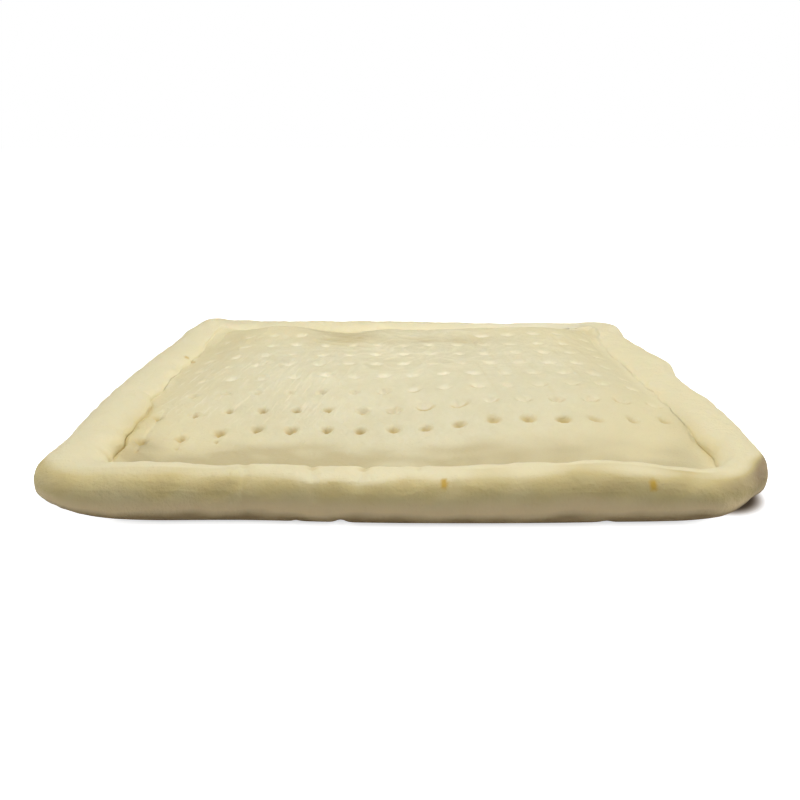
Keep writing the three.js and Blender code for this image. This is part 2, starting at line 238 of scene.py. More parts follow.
# Thin wavy wrinkles on the panel: swells, as a height.
WAVY_PATCHES = [
    (10, 35, 60, 40, 0.55),
    (-60, 70, 70, 40, 0.2),
    (100, 60, 50, 50, 0.2),
    (10, 98, 80, 14, 0.35),
]
WAVY_BEND = 4.0  # how far they are bent
WAVY_SQUEEZE = 0.25  # what X counts against Y, so they run from left to right
WAVY_THIN = 0.4  # how much of the lumps' rise a wrinkle takes up

# Creases in the panel in front of its sunken back, written as the creases below are.
PANEL_CREASES = [
    (-70, 71, -42, 63, 1.2, -0.6),
    (-44, 64, -18, 58, 1.2, -0.5),
    (4, 79, 32, 70, 1.2, -0.5),
    (30, 71, 55, 68, 1.2, -0.6),
]

# Creases across the front rim's crest: from x, y to x, y, half-width, and how much they add.
RIM_CREASES = [
    (-151, -108, -163, -106, 1.6, -0.9),  # the fold in the front left corner
    (-80, -122, -76, -148, 2.2, -1.3),
    (-46, -122, -43, -146, 2.4, -1.4),
    (-17, -120, -21, -146, 2.4, -1.6),
    (9, -120, 8, -144, 1.6, -0.5),
]

# Kneaded lumps: how high, how large and the seed. Those of the first list are everywhere above the foot.
LUMPS = [(0.22, 26.0, 1), (0.14, 9.0, 2), (0.07, 4.0, 3)]
RIM_LUMPS = [(0.1, 13.0, 4)]
FOOT_SMOOTH = (2.0, 8.0)  # height over which the lumps set in

# Fine stretch wrinkles across the left and right rims: main waves and finer ones.
WRINKLE_HEIGHT = 0.09
WRINKLE_LENGTHS = (4.6, 3.1)
WRINKLE_SHARES = (1.0, 0.6)
WRINKLE_WARPS = (1.0, 1.3)  # how much of the bend and the slant each takes
WRINKLE_BEND = 3.0  # how far soft lumps bend them
WRINKLE_SLANT = 0.35  # how far they slant along Y for each millimetre out from the middle
WRINKLES_FROM = (155.0, 165.0)  # distance from the middle over which they set in
WRINKLES_SHOW = (0.5, 0.8, 1.5)  # how much they show: on average, how unevenly, and at most

# Small notches in the front's foot: x, half-width and how deep.
FOOT_NOTCHES = [(-52, 2.0, 0.8), (-30, 2.8, 2.2), (100, 3.0, 1.0)]
NOTCH_HEIGHT = 6.0
NOTCH_FROM = (-122.0, -136.0)  # Y over which the notches set in, towards the front

# The crust on the rim's outer side: share of the rim's height, and how baked it is there. It is partly
# real baking and partly painted shade: its tan on the front's turn and its brown at the foot by the table.
CRUST_BY_HEIGHT = [
    (0.2, 1.0),
    (0.29, 0.64),
    (0.42, 0.4),
    (0.65, 0.44),
    (0.86, 0.52),
    (0.93, 0.45),
    (0.975, 0.14),
    (1.0, 0.0),
]
# Where it reaches higher or less high, as a share.
CRUST_RISES = [
    (-160, -150, 70, 45, 0.06),
    (-44, -150, 9, 30, -0.05),
    (-18, -150, 10, 30, -0.06),
    (3, -150, 16, 30, 0.035),
    (95, -150, 40, 40, 0.01),
    (141, -150, 28, 30, 0.03),
    (190, -138, 24, 24, 0.06),
]
# Painted shade, laid on as a stronger crust, as a share of itself: round the right corner and beside it.
PAINTED_CORNER_SHADE = [
    (190, -122, 24, 28, 1.3),
    (130, -150, 36, 30, 0.2),
]
CRUST_WAVER = 0.018  # how far its border wavers, as a share of the rim's height
CRUST_UNEVEN = 0.1  # how unevenly it is baked, as a share of itself
UNDERSIDE_EVEN = (0.0, 2.0)  # height over which the unevenness sets in
# On the sides and the back the oven reached less high up: how much lower the crust ends, as a share.
CRUST_LOWER_BEHIND = 0.2
CRUST_FRONT = (-128.0, -100.0)  # Y over which the front turns into the sides
SWEAT_AND_REFLECTION_FADES = (0.4, 0.7)  # height share over which the paler foot fades: partly sweated, partly painted table reflection

# Painted shade on the panel, a dull darker tone: the strip along the front behind the rim, and patches,
# which are swells.
FRONT_STRIP_SHADE = (1.15, 0.65)  # left and right
FRONT_STRIP_TURNS = (-60.0, 100.0)  # X over which left turns into right
FRONT_STRIP_FROM = (-72.0, -95.0)  # Y over which it sets in
FRONT_STRIP_WAVER = 2.5  # how far its border wavers
FRONT_STRIP_ENDS = (165.0, 150.0)  # distance from the middle over which it ends
SMUDGES = (0.9, 0.2, 0.6, 1.4)  # how it is smudged: on average, how unevenly, at least and at most
SHADE_PATCHES = [
    (-46, 79, 24, 12, 1.0),
    (-50, 102, 34, 14, 0.8),
    (0, -96, 16, 12, -0.4),
    (-78, -98, 40, 10, 0.2),
    (50, -97, 24, 10, 0.25),
    (138, -96, 20, 12, -0.3),
    (5, 40, 60, 30, 0.12),
    (30, 73, 44, 8, 0.6),
    (-135, 60, 22, 60, 0.25),
    (140, 20, 18, 90, 0.1),
]

# Where flour has stayed on the rim, and where painted shade lies on the panel as a tan: swells, as shares.
FLOURED = [(105, 140, 60, 22, 0.8)]
PANEL_SHADES = [(-42, 76, 26, 12, 0.16)]
RIM_SHARE = (0.7, 1.0)  # how much of the rim's paler look, partly painted light, its left and right ends have
RIM_TURNS = (-150.0, 150.0)  # X over which left turns into right
WARM_EDGE = (170.0, 130.0)  # the panel is warmer towards this ellipse's edge
WARM_FROM = (0.5, 1.1)  # how far out that begins and where it is full, in ellipses
# Where the panel's skin is drawn into threads: X towards the left, Y from the front and Y from the back.
PULLED_LEFT = (-15.0, -60.0)
PULLED_FRONT = (-70.0, -40.0)
PULLED_BACK = (70.0, 15.0)

# Small yellow-brown flecks on the left rim and the front, like crumbs that have stuck: x, y and z on the
# finished base, and how strong.
FLECKS = [
    (-162, 51, 23, 0.6),
    (-157.5, 51, 20.5, 0.5),
    (17, -145, 22.5, 1.0),
    (117.5, -146, 22.5, 1.0),
]
FLECK_REACH = (2.4, 1.2)  # how far out a fleck begins to show, and how near it is full
FLECK_SQUASH = (1.0, 0.7, 0.6)  # what distances along x, y and z count

# How finely the skin is divided.
LONG_STEPS = 232
SHORT_STEPS = 170
FOOT_ROWS = 4
SECTION_ROWS = 45
SECTION_SAMPLES = 4000  # places at which the section is measured, to divide it evenly
SHOULDER_ROWS = 12
UNDERSIDE_RINGS = (0.3, 0.65)

FOOT_ANGLE = -math.pi / 2
CREST_ANGLE = math.pi / 2
GROOVE_ANGLE = math.pi + PAST_INNER_SIDE

GRID_LENGTH = LENGTH - 2 * CORNER_RADIUS
GRID_DEPTH = DEPTH - 2 * CORNER_RADIUS
PANEL_HALF_LENGTH = LENGTH / 2 - RIM_WIDTH
PANEL_HALF_DEPTH = DEPTH / 2 - RIM_WIDTH


# ---------------------------------------------------------------- shape helpers


def added_by(swells, x, y):
    """The sum of the swells at each point: amount times e to the minus square of the distance in reaches."""
    total = np.zeros(np.broadcast(x, y).shape)
    for at_x, at_y, reach_x, reach_y, amount in swells:
        total += amount * np.exp(-(((x - at_x) / reach_x) ** 2) - ((y - at_y) / reach_y) ** 2)
    return total


def smooth_step(start, end, value):
    """0 before start, 1 after end, and 3t^2 - 2t^3 between them."""
    t = np.clip((value - start) / (end - start), 0.0, 1.0)
    return t * t * (3.0 - 2.0 * t)


def shoulder(distance, width, power=0.5):
    """A round edge's rise: 0 at the edge, 1 from one width in, and (1 - (1 - t)^2)^power between them."""
    left = 1.0 - np.clip(distance / width, 0.0, 1.0)
    return (1.0 - left * left) ** power


def lerp(pair, share):
    """From the pair's first value to its second as the share goes from 0 to 1."""
    return pair[0] + (pair[1] - pair[0]) * share


def ripples(x, y, z, size, seed, count=28):
    """Soft lumps of about the given size: a sum of sine waves that run in random directions."""
    random = np.random.default_rng(seed)
    directions = random.normal(size=(count, 3))
    directions /= np.linalg.norm(directions, axis=1)[:, None]
    lengths = size * random.uniform(1.2, 2.6, count)
    phases = random.uniform(0.0, 2 * math.pi, count)
    total = np.zeros(np.broadcast(x, y, z).shape)
    for (a, b, c), length, phase in zip(directions, lengths, phases):
        total += np.sin(2 * math.pi * (a * x + b * y + c * z) / length + phase)
    return total / math.sqrt(count / 2)


# ---------------------------------------------------------------- the skin


def columns():
    """For each column round the base: its side's directions, half its straight, its reach and its place
    along the side, from -1 to 1."""
    table = []
    long_side = (GRID_LENGTH / 2, DEPTH / 2, LONG_STEPS)
    short_side = (GRID_DEPTH / 2, LENGTH / 2, SHORT_STEPS)
    for along, facing, (straight, reach, steps) in (
        ((1, 0), (0, -1), long_side),
        ((0, 1), (1, 0), short_side),
        ((-1, 0), (0, 1), long_side),
        ((0, -1), (-1, 0), short_side),
    ):
        place = np.linspace(-1.0, 1.0, steps, endpoint=False)
        table.append([np.full(steps, v) for v in (*along, *facing, straight, reach)] + [place])
    return np.concatenate(table, axis=1)


COLUMNS = columns()


def outline(inset):
    """The rounded rectangle moved in by the inset, as x, y and outward x, y. Along each side a point travels
    its place times the half straight, plus its place cubed times its half of the round corner."""
    along_x, along_y, facing_x, facing_y, straight, reach, place = COLUMNS
    radius = np.maximum(CORNER_RADIUS - inset, 1e-9)
    size = np.abs(place)
    travelled = size * straight + radius * math.pi / 4 * size**3
    turned = np.maximum(travelled - straight, 0.0) / radius
    sideways = np.sign(place) * (np.minimum(travelled, straight) + radius * np.sin(turned))
    outwards = reach - CORNER_RADIUS + radius * np.cos(turned)
    lean = np.sign(place) * np.sin(turned)
    return (
        along_x * sideways + facing_x * outwards,
        along_y * sideways + facing_y * outwards,
        along_x * lean + facing_x * np.cos(turned),
        along_y * lean + facing_y * np.cos(turned),
    )


def groove_height(x, y):
    """The groove's height: low along the front, higher at its corners, rising to the sides' height behind
    them, and filled up in the back corners."""
    front = lerp(GROOVE_FRONT, smooth_step(*GROOVE_CORNER, np.abs(x)))
    sides = lerp(GROOVE_SIDES, smooth_step(*GROOVE_RIGHT, x))
    return lerp((front, sides), smooth_step(*GROOVE_BACK, y)) + added_by(GROOVE_FILLS, x, y)


def inner_swell(x, y):
    """How far swells move the groove out: what is left there of the outline's, plus the groove's own."""
    return SWELL_AT_GROOVE * added_by(OUTLINE_SWELLS, x, y) + added_by(GROOVE_SWELLS, x, y)


def panel_height(x, y):
    """The groove's height plus the puffed crown's rise above it, faded by a round shoulder at each side."""
    right = smooth_step(*CHANGE_OVER, x)
    fall = smooth_step(lerp(PUFF_STARTS, right), lerp(FRONT_STRIP, right), y)
    crown = PANEL_HEIGHT + added_by(PANEL_SWELLS, x, y) - lerp(FRONT_DROP, right) * fall
    edge = (
        shoulder(PANEL_HALF_LENGTH + x + inner_swell(-LENGTH / 2, y), *SHOULDER_LEFT)
        * shoulder(PANEL_HALF_LENGTH - x + inner_swell(LENGTH / 2, y), *SHOULDER_RIGHT)
        * shoulder(PANEL_HALF_DEPTH - y, *SHOULDER_BACK)
        * shoulder(PANEL_HALF_DEPTH + y, *SHOULDER_FRONT)
    )
    groove = groove_height(x, y)
    return groove + (crown - groove) * edge


def section_angles():
    """Angles of the rim's section that lie evenly along it, from the foot over the crest to the groove."""
    fine = np.linspace(FOOT_ANGLE, GROOVE_ANGLE, SECTION_SAMPLES)
    inset, level = section_point(fine)
    steps = np.hypot(np.diff(inset), np.diff(level) * RIM_HEIGHT)
    travelled = np.concatenate([[0.0], np.cumsum(steps)])
    return np.interp(np.linspace(0.0, travelled[-1], SECTION_ROWS + 1), travelled, fine)


def section_point(angle):
    """The oval section: the inset goes as the cosine and the level as the sine, each raised to 2 over the
    roundness, and the level is measured up and down from the waist."""
    cosine, sine = np.cos(angle), np.sin(angle)
    outside, inside = RIM_ROUNDNESS
    power = 2.0 / np.where(cosine >= 0.0, outside, inside)
    inset = RIM_WIDTH / 2 * (1.0 - np.sign(cosine) * np.abs(cosine) ** power)
    above = RIM_WAIST + (1.0 - RIM_WAIST) * np.abs(sine) ** power
    below = RIM_WAIST * (1.0 - np.abs(sine) ** power)
    return inset, np.where(sine >= 0.0, above, below)


def rim_row(angle):
    """One ring of the rolled rim, at one angle of its section: the section's inset and level, times the
    crest's height, moved out by the swells. The inner side falls only to the groove, and the lifted corners'
    heels rise by the square of how low they are."""
    inset, level = section_point(angle)
    edge_x, edge_y, _, _ = outline(0.0)
    x, y, out_x, out_y = outline(inset)
    crest = RIM_HEIGHT + added_by(CREST_SWELLS, edge_x, edge_y)
    if angle > CREST_ANGLE:
        lowest = section_point(GROOVE_ANGLE)[1]
        fallen = (level - lowest) / (1.0 - lowest)
        level = lerp((groove_height(edge_x, edge_y) / crest, 1.0), fallen)
    heel = added_by(LIFTED_CORNERS, edge_x, edge_y) * (1.0 - level) ** 2 * (angle < CREST_ANGLE)
    share = 1.0 - (1.0 - SWELL_AT_GROOVE) * inset / RIM_WIDTH
    swell = added_by(OUTLINE_SWELLS, edge_x, edge_y) * share - heel
    uneven = GROOVE_UNEVEN * ripples(edge_x, edge_y, 0.0, size=14.0, seed=51)
    swell += (added_by(GROOVE_SWELLS, edge_x, edge_y) + uneven) * (inset / RIM_WIDTH) ** 2
    return np.stack([x + out_x * swell, y + out_y * swell, level * crest + heel])


def shoulder_row(part):
    """One ring between the groove, part 0, and the panel's grid, part 1: straight across, and up from the
    groove to the panel's height as a quarter circle rises."""
    groove = rim_row(GROOVE_ANGLE)
    edge_x, edge_y, _, _ = outline(CORNER_RADIUS)
    x = lerp((groove[0], edge_x), part)
    y = lerp((groove[1], edge_y), part)
    risen = shoulder(part, GROOVE_SIDE_WIDTH)
    return np.stack([x, y, lerp((groove[2], panel_height(x, y)), risen)])


def foot_row(share):
    """One ring on the underside, between the grid's rectangle, share 0, and the rim's foot, share 1."""
    foot = rim_row(FOOT_ANGLE)
    edge_x, edge_y, _, _ = outline(CORNER_RADIUS)
    return lerp((np.stack([edge_x, edge_y, np.zeros_like(edge_x)]), foot), share)


def collar_rows():
    """Every ring from near the middle of the underside, out under the rim, over it and in to the grid's
    edge."""
    flat = foot_row(0.0)
    rows = [flat * scale for scale in UNDERSIDE_RINGS]
    rows += [foot_row(share) for share in np.linspace(0.0, 1.0, FOOT_ROWS, endpoint=False)]
    rows += [rim_row(angle) for angle in section_angles()]
    rows += [shoulder_row(part) for part in np.linspace(0.0, 1.0, SHOULDER_ROWS + 1)[1:-1]]
    return np.stack(rows)


def skin():
    """Points and faces of the whole closed skin, how much painted shade its groove has, and how much of it is
    rim: the collar's rings, the panel's grid that closes them on top, and a fan that closes them underneath."""
    rings = collar_rows()
    raised, shade_tan, rim = valley(rings)
    rings[:, 2] += raised
    ring_count, _, around = rings.shape
    grid_x, grid_y = np.meshgrid(
        np.linspace(-GRID_LENGTH / 2, GRID_LENGTH / 2, LONG_STEPS + 1),
        np.linspace(-GRID_DEPTH / 2, GRID_DEPTH / 2, SHORT_STEPS + 1),
        indexing="ij",
    )
    grid = np.stack([grid_x, grid_y, panel_height(grid_x, grid_y)], axis=-1).reshape(-1, 3)
    points = np.concatenate([rings.transpose(0, 2, 1).reshape(-1, 3), grid, [[0.0, 0.0, 0.0]]])
    groove_shade = np.concatenate([shade_tan.reshape(-1), np.zeros(len(grid) + 1)])
    rimmed = np.concatenate([rim.reshape(-1), np.zeros(len(grid)), [1.0]])

    first_of_grid = ring_count * around
    number = first_of_grid + np.arange(len(grid)).reshape(LONG_STEPS + 1, SHORT_STEPS + 1)
    border = np.concatenate([number[:-1, 0], number[-1, :-1], number[:0:-1, -1], number[0, :0:-1]])
    loops = np.vstack([np.arange(first_of_grid).reshape(ring_count, around), border])
    after = np.roll(loops, -1, axis=1)
    collar = np.stack([loops[:-1], after[:-1], after[1:], loops[1:]], axis=-1).reshape(-1, 4)
    corners = [number[:-1, :-1], number[1:, :-1], number[1:, 1:], number[:-1, 1:]]
    panel = np.stack(corners, axis=-1).reshape(-1, 4)
    middle = np.full(around, len(points) - 1)
    fan = np.stack([after[0], loops[0], middle], axis=-1)
    return points, groove_shade, rimmed, np.concatenate([collar, panel]), fan


def valley(rings):
    """How much the valley between panel and rim is raised, how much painted shade it has as a tan, and how
    much each point belongs to the rim. The valley is rounded out: the height above the groove becomes the
    root of its square plus that of the rounding. This and the crease fade as e to the minus square of the
    distance from the groove's ring, in half-widths. The rim's share is 1 on the rim and fades away over the
    panel's edge."""
    groove_ring = len(UNDERSIDE_RINGS) + FOOT_ROWS + SECTION_ROWS
    away = np.linalg.norm(rings - rings[groove_ring], axis=1)
    edge_x, edge_y, _, _ = outline(0.0)
    depth = added_by(PINCHES, edge_x, edge_y)
    on_top = (np.arange(len(rings)) > groove_ring - SECTION_ROWS / 2)[:, None]
    halo = np.exp(-((away / VALLEY_HALF_WIDTH) ** 2)) * on_top
    crease = depth * np.exp(-((away / PINCH_HALF_WIDTH) ** 2)) * on_top
    height = np.maximum(rings[:, 2] - rings[groove_ring, 2], 0.0)
    rounded = (np.hypot(height, VALLEY_ROUND) - height) * halo
    # painted shade, as a tan, in the groove's crease and valley
    shade_tan = PINCH_SHADE * crease + added_by(GROOVE_SHADES, edge_x, edge_y) * halo
    beyond = (np.arange(len(rings)) > groove_ring)[:, None]
    rim = np.where(beyond, smooth_step(RIM_FADES, 0.0, away), 1.0)
    return rounded - crease, shade_tan, rim


# ---------------------------------------------------------------- docking


def docking_holes():
    """Each docking hole's x, y and row. Rows are a pitch apart, each pair of rows stands a stagger further
    left than the pair in front, up to the third pair, and a hand's shake moves every hole. The front row's
    left end was pressed twice, and its second marks come last, as row -1."""
    random = np.random.default_rng(seed=7)
    left = -PANEL_HALF_LENGTH + DOCK_MARGINS[0]
    right = PANEL_HALF_LENGTH - DOCK_MARGINS[1]
    places = []
    for row in range(DOCK_ROWS):
        offset = DOCK_START - DOCK_STAGGER * min(row // 2, DOCK_STAGGERED_PAIRS)
        first = math.ceil((left - offset) / DOCK_PITCH_X)
        last = math.floor((right - offset) / DOCK_PITCH_X)
        for hole in range(first, last + 1):
            places.append((offset + hole * DOCK_PITCH_X, DOCK_FIRST_ROW + row * DOCK_PITCH_Y, row))
    places = np.array(places)
    places[:, :2] += random.normal(0.0, DOCK_SHAKE, (len(places), 2))
    stretched_from, stretch = DOCK_STRETCH
    x, y = places[:, 0].copy(), places[:, 1].copy()
    places[:, 0] += stretch * np.minimum(x - stretched_from, 0.0)
    places[:, 1] += added_by(DOCK_BEND, x, y)
    twice = places[(places[:, 2] == 0) & (x < DOCK_TWICE_LEFT_OF)]
    twice[:, :2] += DOCK_TWICE_SHIFT
    twice[:, 2] = -1
    return np.vstack([places, twice])


def draw_in(points, holes):
    """Moves grid points sideways towards each hole, so that the cells there are about half the size: by
    their distance times the drawn share times (1 - r^2)^2, where r is the distance in reaches."""
    moved = points.copy()
    for x, y, _ in holes:
        away = points[:, :2] - (x, y)
        r = np.linalg.norm(away, axis=1) / DRAWN_REACH
        share = DRAWN_SHARE * np.clip(1.0 - r * r, 0.0, None) ** 2
        moved[:, :2] -= away * share[:, None]
    return moved


def hole_sizes(at_x, row, right, random):
    """One hole's sizes: those of its row's kind, blended from left to right, most of them times a chance,
    and less where the roller pressed less. Gives the dish's depth, the pit's depth, half-width and stretch,
    how much painted shade it has inside and how much painted highlight on its far wall, and the dish's
    half-length, half-width and turn."""
    kind = DOCK_SECOND_MARK if row < 0 else DOCK_KINDS[min(int(row), len(DOCK_KINDS) - 1)]
    dish, pit, half_width, stretch, shade_tan, highlight = (lerp(pair, right) for pair in kind)
    length = DISH_LENGTH * random.uniform(*DISH_LENGTHS)
    width = DISH_WIDTH * random.uniform(*DISH_WIDTHS)
    turn = random.normal(0.0, TURN_SHAKE) - TURN_MOST * math.tanh(at_x / TURN_REACH)
    marked = random.uniform(*MARKED)
    half_width *= random.uniform(*PIT_HALF_WIDTHS)
    pit *= random.uniform(*PIT_DEPTHS)
    if row == DOCK_ROWS - 1 and MISSED[0] < at_x < MISSED[1]:
        dish *= MISSED_DISH
        pit *= MISSED_PIT
        highlight *= MISSED_HIGHLIGHT
    if row <= 0:
        fade = float(smooth_step(*FADES, at_x))
        pit *= 1.0 + FADED_DEPTH * fade
        half_width *= 1.0 + FADED_WIDTH * fade
        stretch *= 1.0 + FADED_STRETCH * fade
        turn += FADED_TURN * fade
        pit *= 1.0 - WEAK_LOSS * float(smooth_step(*WEAK_LEFT, at_x))
    elif row > 2:
        pit *= lerp(FOURTH_ROW_DEPTH, marked)
    highlight *= marked * lerp(HIGHLIGHT_MIDDLE, math.exp(-((at_x / HIGHLIGHT_REACH) ** 2)))
    return dish, pit, half_width, stretch, shade_tan, highlight, length, width, turn


def dock(x, y, holes):
    """How far the docking holes lower the dough, how much painted shade each point has as pit, and how much
    painted highlight it has as a dish's far wall. A hole is a dish, (1 - r^2)^1.5 within its reach, and a pit
    in the dish, e to the minus q^4, which narrows towards the front. Here r is the distance in dishes and q
    that in pits. Behind the front row a hole has a low round lip at its front. The dishes lie across the pull
    of the dough, so they turn from left to right. In the rows behind, only a pit's near side has painted
    shade, and its far wall has a painted highlight."""
    random = np.random.default_rng(seed=11)
    lowered = np.zeros_like(x)
    pit_shade = np.zeros_like(x)
    lit_walls = np.zeros_like(x)
    for at_x, at_y, row in holes:
        right = float(smooth_step(*DOCK_RIGHT_FROM, at_x))
        sizes = hole_sizes(at_x, row, right, random)
        dish, pit, half_width, stretch, shade_tan, highlight, length, width, turn = sizes
        across, along = x - at_x, y - at_y
        near = np.hypot(across, along) < HOLE_REACH
        u, v = across[near], along[near]
        u, v = u * math.cos(turn) + v * math.sin(turn), v * math.cos(turn) - u * math.sin(turn)
        behind = v / half_width
        r = np.hypot(u / length, v / width)
        bowl = np.clip(1.0 - r * r, 0.0, None) ** 1.5
        widens = PIT_WIDENS * (row < 2) * (1.0 - right)
        stretched = stretch * (1.0 + widens * np.clip(behind, -1.0, 1.0))
        q = np.hypot(u / stretched, v / (FRONT_PIT_LONGER if row <= 0 else 1.0)) / half_width
        inside = np.exp(-(q**4))
        lip = np.exp(-(((q - LIP_AT) / LIP_HALF_WIDTH) ** 2)) * smooth_step(*LIP_SIDE, behind) * (row > 0)
        lowered[near] += dish * bowl - LIP_HEIGHT * lip + pit * inside
        near_only = float(np.clip(row - 1.0 + right, 0.0, 1.0)) * (row > 0)
        near_side = 1.0 - near_only * smooth_step(*NEAR_SIDE, behind)
        # painted shade inside the pit, on its near side only in the rows behind
        pit_shade[near] += shade_tan * inside * near_side * min(pit / SHADE_DEPTH + SHADE_OF_FLAT, 1.0)
        far_side = smooth_step(*(FAR_SIDE if row < 3 else FAR_SIDE_BEHIND), behind)
        # painted highlight on the dish's far wall
        lit_walls[near] += highlight * np.exp(-((q / WALL_REACH) ** 6)) * far_side
    return lowered, np.clip(pit_shade, 0.0, 1.0), np.clip(lit_walls, 0.0, 1.0)


# ---------------------------------------------------------------- marks and lumps


def streak(x, y, line):
    """A straight ridge or crease: its amount times e to the minus square of the distance from the segment in
    half-widths, tapered along it by the root of a half sine wave."""
    x0, y0, x1, y1, half_width, amount = line
    length_x, length_y = x1 - x0, y1 - y0
    share = np.clip(((x - x0) * length_x + (y - y0) * length_y) / (length_x**2 + length_y**2), 0.0, 1.0)
    away = np.hypot(x - x0 - share * length_x, y - y0 - share * length_y)
    taper = np.sin(math.pi * np.clip(share, STREAK_ENDS, 1.0 - STREAK_ENDS)) ** 0.5
    return amount * taper * np.exp(-((away / half_width) ** 2))


def pull_marks(x, y):
    """All the pull marks together: straight ridges and furrows at random places within their stretch."""
    random = np.random.default_rng(seed=17)
    total = np.zeros_like(x)
    for count, x_range, y_range, lengths, lean, amounts in PULL_MARKS:
        for _ in range(count):
            x0, y0, length, amount = (random.uniform(*pair) for pair in (x_range, y_range, lengths, amounts))
            x1 = x0 + length * (lean + random.normal(0.0, PULL_LEAN_SHAKE))
            half_width = random.uniform(*PULL_HALF_WIDTHS)
            total += streak(x, y, (x0, y0, x1, y0 + length, half_width, amount))
    return total


def wavy(x, y):
    """Thin wavy wrinkles that run from left to right: ridges, e to the minus square, along the level lines of
    lumps that are longer along X and that soft lumps have bent."""
    bent = y + WAVY_BEND * ripples(x, y, 0.0, size=18.0, seed=41)
    level = ripples(WAVY_SQUEEZE * x, bent, 0.0, size=5.0, seed=42)
    return np.exp(-((level / WAVY_THIN) ** 2)) * added_by(WAVY_PATCHES, x, y)


def wrinkles(x, y):
    """Fine stretch wrinkles across the left and right rims: sine waves along Y, warped by soft lumps and
    slanted, and shown more or less by other soft lumps."""
    warp = WRINKLE_BEND * ripples(x, y, 0.0, size=30.0, seed=21) + WRINKLE_SLANT * np.abs(x)
    waves = np.zeros_like(x)
    for length, share, warped in zip(WRINKLE_LENGTHS, WRINKLE_SHARES, WRINKLE_WARPS):
        waves += share * np.sin(2 * math.pi * (y + warped * warp) / length)
    average, uneven, most = WRINKLES_SHOW
    shown = np.clip(average + uneven * ripples(x, y, 0.0, size=25.0, seed=22), 0.0, most)
    return waves * smooth_step(*WRINKLES_FROM, np.abs(x)) * shown


def kneaded(x, y, z, above, on_rim):
    """How far kneading has left each point out of the smooth skin: soft lumps of several sizes everywhere
    above the foot, more of them on the rim, and the rim's fine wrinkles."""
    lumps = sum(height * ripples(x, y, z, size, seed) for height, size, seed in LUMPS)
    rim_lumps = sum(height * ripples(x, y, z, size, seed) for height, size, seed in RIM_LUMPS)
    return lumps * above + (rim_lumps + WRINKLE_HEIGHT * wrinkles(x, y)) * on_rim


def foot_notches(x, y, z):
    """How deep the small notches cut into the front's foot: their depth times e to the minus square of the
    distance along X in half-widths, fading out upwards and towards the back."""
    low = np.clip(1.0 - z / NOTCH_HEIGHT, 0.0, 1.0) * smooth_step(*NOTCH_FROM, y)
    return low * sum(
        depth * np.exp(-(((x - at) / half_width) ** 2)) for at, half_width, depth in FOOT_NOTCHES
    )


def vertex_normals(points, quads, tris):
    """Each point's normal: the sum of its faces' cross products, made one long."""
    total = np.zeros_like(points)
    for faces in (quads, tris):
        a, b, c = points[faces[:, 0]], points[faces[:, 1]], points[faces[:, -1]]
        normal = np.cross(b - a, c - a)
        for corner in range(faces.shape[1]):
            np.add.at(total, faces[:, corner], normal)
    return total / np.maximum(np.linalg.norm(total, axis=1), 1e-9)[:, None]


# ---------------------------------------------------------------- what the skin looks like where


def crust_and_shade_share(x, y, z, outer, dip_shade):
    """How baked each point is, with the painted shade it carries, and how much paler foot it has: 0 is pale
    dough, a half is tan crust and 1 is the brown of the underside. On the rim's outer side it goes by the
    share of the rim's height, with a wavy border, and is partly painted shade on the front's turn and at the
    foot. The dips on top carry painted shade as a tan. The paler foot is partly sweated dough and partly a
    painted reflection of the table."""
    waver = ripples(x, y, 0.0, size=22.0, seed=32)
    behind = CRUST_LOWER_BEHIND * smooth_step(*CRUST_FRONT, y)
    crest = RIM_HEIGHT + added_by(CREST_SWELLS, x, y)
    lifted = added_by(LIFTED_CORNERS, x, y) * np.clip(1.0 - z / crest, 0.0, 1.0) ** 2
    level = (z - lifted) / crest + CRUST_WAVER * waver
    moved = level * (1.0 + behind - added_by(CRUST_RISES, x, y))
    uneven = CRUST_UNEVEN * ripples(x, y, z, size=12.0, seed=33) * smooth_step(*UNDERSIDE_EVEN, z)
    outside = np.interp(moved, *zip(*CRUST_BY_HEIGHT)) * (1.0 + uneven)
    # painted shade round the right front corner and beside it
    outside *= 1.0 + added_by(PAINTED_CORNER_SHADE, x, y)
    sweat_and_reflection = (1.0 - smooth_step(*SWEAT_AND_REFLECTION_FADES, level)) * outer
    return np.clip(np.where(outer, outside, dip_shade), 0.0, 1.0), sweat_and_reflection


def painted_shade_share(x, y, on_top):
    """How much painted shade, as a dull darker tone, the panel has: the strip along the front, with a wavy
    border, plus the patches, both times soft smudges that are twice as long along X."""
    waver = ripples(x, y, 0.0, size=22.0, seed=34)
    average, uneven, least, most = SMUDGES
    smudges = np.clip(average + uneven * ripples(x, 2.0 * y, 0.0, size=16.0, seed=31), least, most)
    strip = lerp(FRONT_STRIP_SHADE, smooth_step(*FRONT_STRIP_TURNS, x))
    strip *= smooth_step(*FRONT_STRIP_FROM, y + FRONT_STRIP_WAVER * waver) * smudges
    strip *= smooth_step(*FRONT_STRIP_ENDS, np.abs(x))
    return np.clip(strip + added_by(SHADE_PATCHES, x, y) * smudges, 0.0, 1.0) * on_top


def fleck_share(points):
    """How much each point is fleck: a smooth step from a fleck's reach in to where it is full, times its
    strength."""
    flecks = np.zeros(len(points))
    for *at, strength in FLECKS:
        away = np.linalg.norm((points - at) * FLECK_SQUASH, axis=1)
        flecks = np.maximum(flecks, strength * smooth_step(*FLECK_REACH, away))
    return flecks


# ---------------------------------------------------------------- the piece


